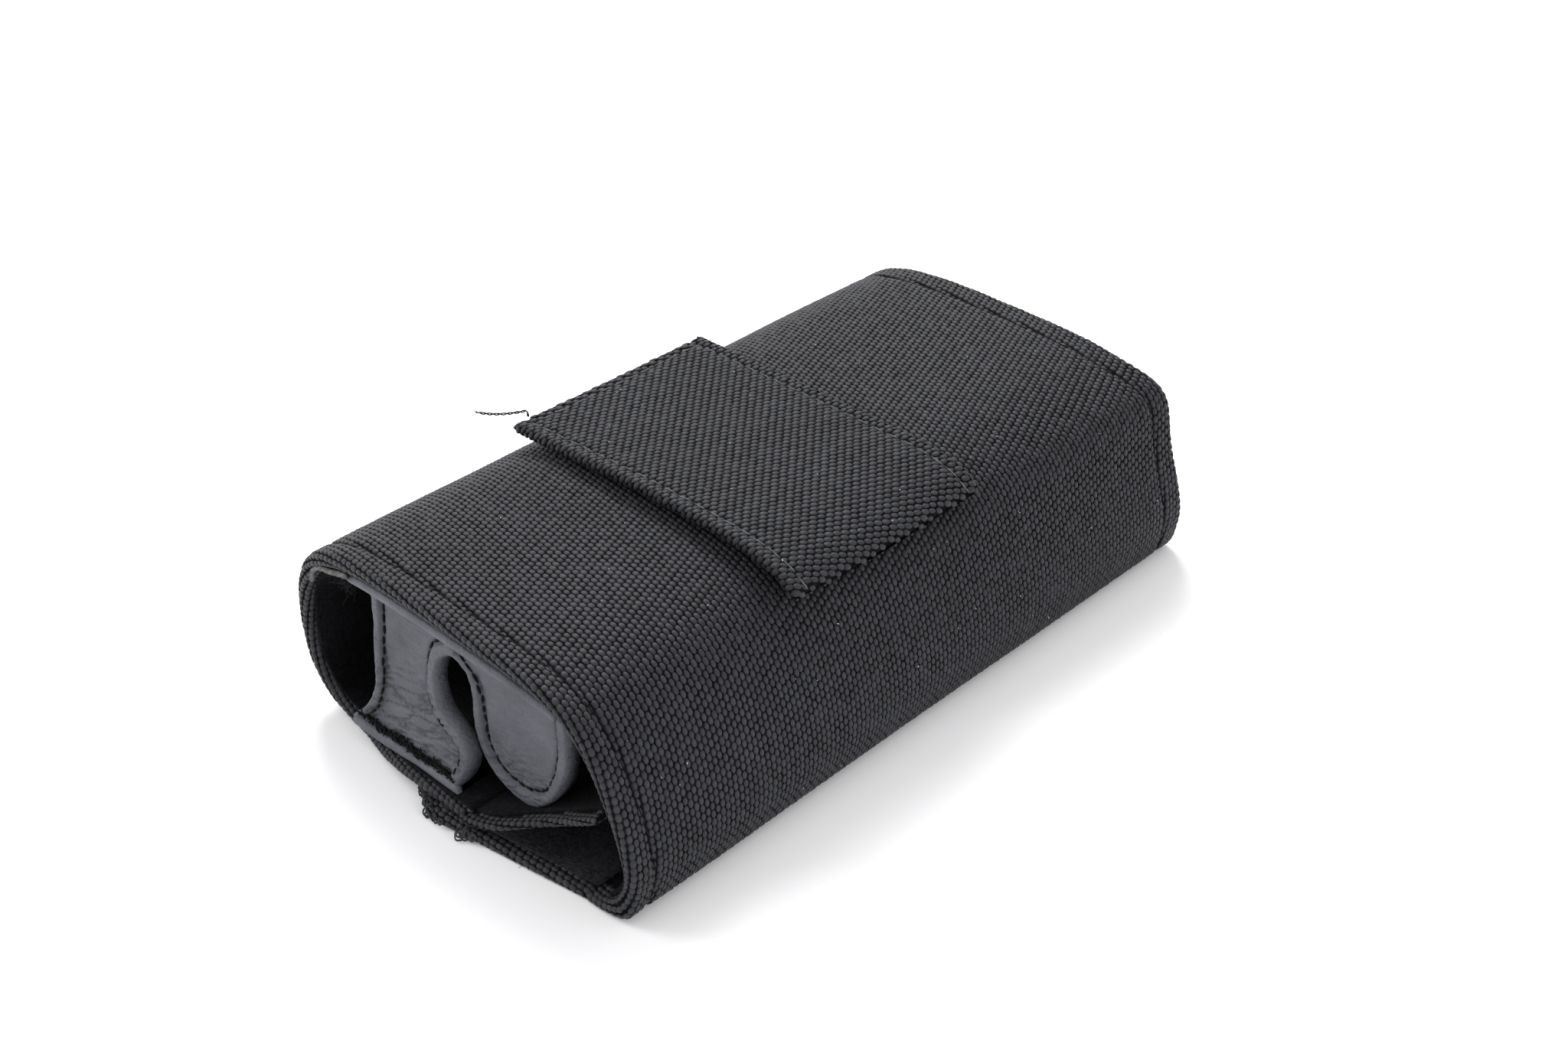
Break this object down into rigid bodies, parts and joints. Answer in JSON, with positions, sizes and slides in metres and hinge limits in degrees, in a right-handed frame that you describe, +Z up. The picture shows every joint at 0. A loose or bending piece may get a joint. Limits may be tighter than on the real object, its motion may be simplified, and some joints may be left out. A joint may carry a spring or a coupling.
{
  "type": "nylon belt pouch with leather holder",
  "caption": "Small open-ended nylon belt pouch wound into a flat tube, with a stitched patch on top and a grey leather holder inside.",
  "frame": {"origin": "middle of the object's box, on the ground", "axes": "+Y runs from the open mouth to the far end, +X across towards the rounded right wall, +Z up"},
  "size_m": [0.0748, 0.1312, 0.0364],
  "materials": {
    "nylon": "coarse plain-woven black nylon",
    "velvet": "black napped lining",
    "leather": "grey grained leather, satin",
    "thread": "black sewing thread",
    "raw_edge": "pale raw edge of the lining"
  },
  "bodies": {
    "pouch": {"wrap_shell": "nylon", "near_hem": "nylon", "far_hem": "nylon", "wrap_lining": "velvet", "near_hem_thread": "thread", "far_hem_thread": "thread", "lining_edge_tape": "raw_edge", "leather_top_panel": "leather", "leather_bottom_panel": "leather", "leather_strap": "leather", "strap_outer_thread": "thread", "strap_inner_thread": "thread", "strap_foot_thread": "thread"},
    "closure_flap": {"flap_shell": "nylon", "flap_lining": "velvet"},
    "inner_end": {"inner_end_shell": "nylon", "inner_end_lining": "velvet"},
    "patch": {"patch_bottom_ply": "nylon", "patch_top_ply": "nylon", "patch_near_thread": "thread", "patch_far_thread": "thread", "patch_end_thread": "thread", "stray_thread": "thread"},
    "tongue": {"leather_tongue": "leather", "tongue_thread": "thread"}
  },
  "joints": [
    {"name": "closure_flap_fold", "type": "hinge", "parent": "pouch", "child": "closure_flap", "pos_m": [0.02711, 0, 0], "axis": [0, -1, 0], "range_deg": [0, 100]},
    {"name": "inner_end_fold", "type": "hinge", "parent": "pouch", "child": "inner_end", "pos_m": [0.00571, 0, 0.0019], "axis": [0, 1, 0], "range_deg": [0, 22], "stiffness_Nm_per_rad": 0.005},
    {"name": "patch_fold", "type": "hinge", "parent": "pouch", "child": "patch", "pos_m": [0, 0.0186, 0.0331], "axis": [-1, 0, 0], "range_deg": [0, 80], "stiffness_Nm_per_rad": 0.005},
    {"name": "tongue_fold", "type": "hinge", "parent": "pouch", "child": "tongue", "pos_m": [0.01203, -0.0566, 0.0252], "axis": [1, 0, 0], "range_deg": [-50, 60], "stiffness_Nm_per_rad": 0.0002}
  ]
}
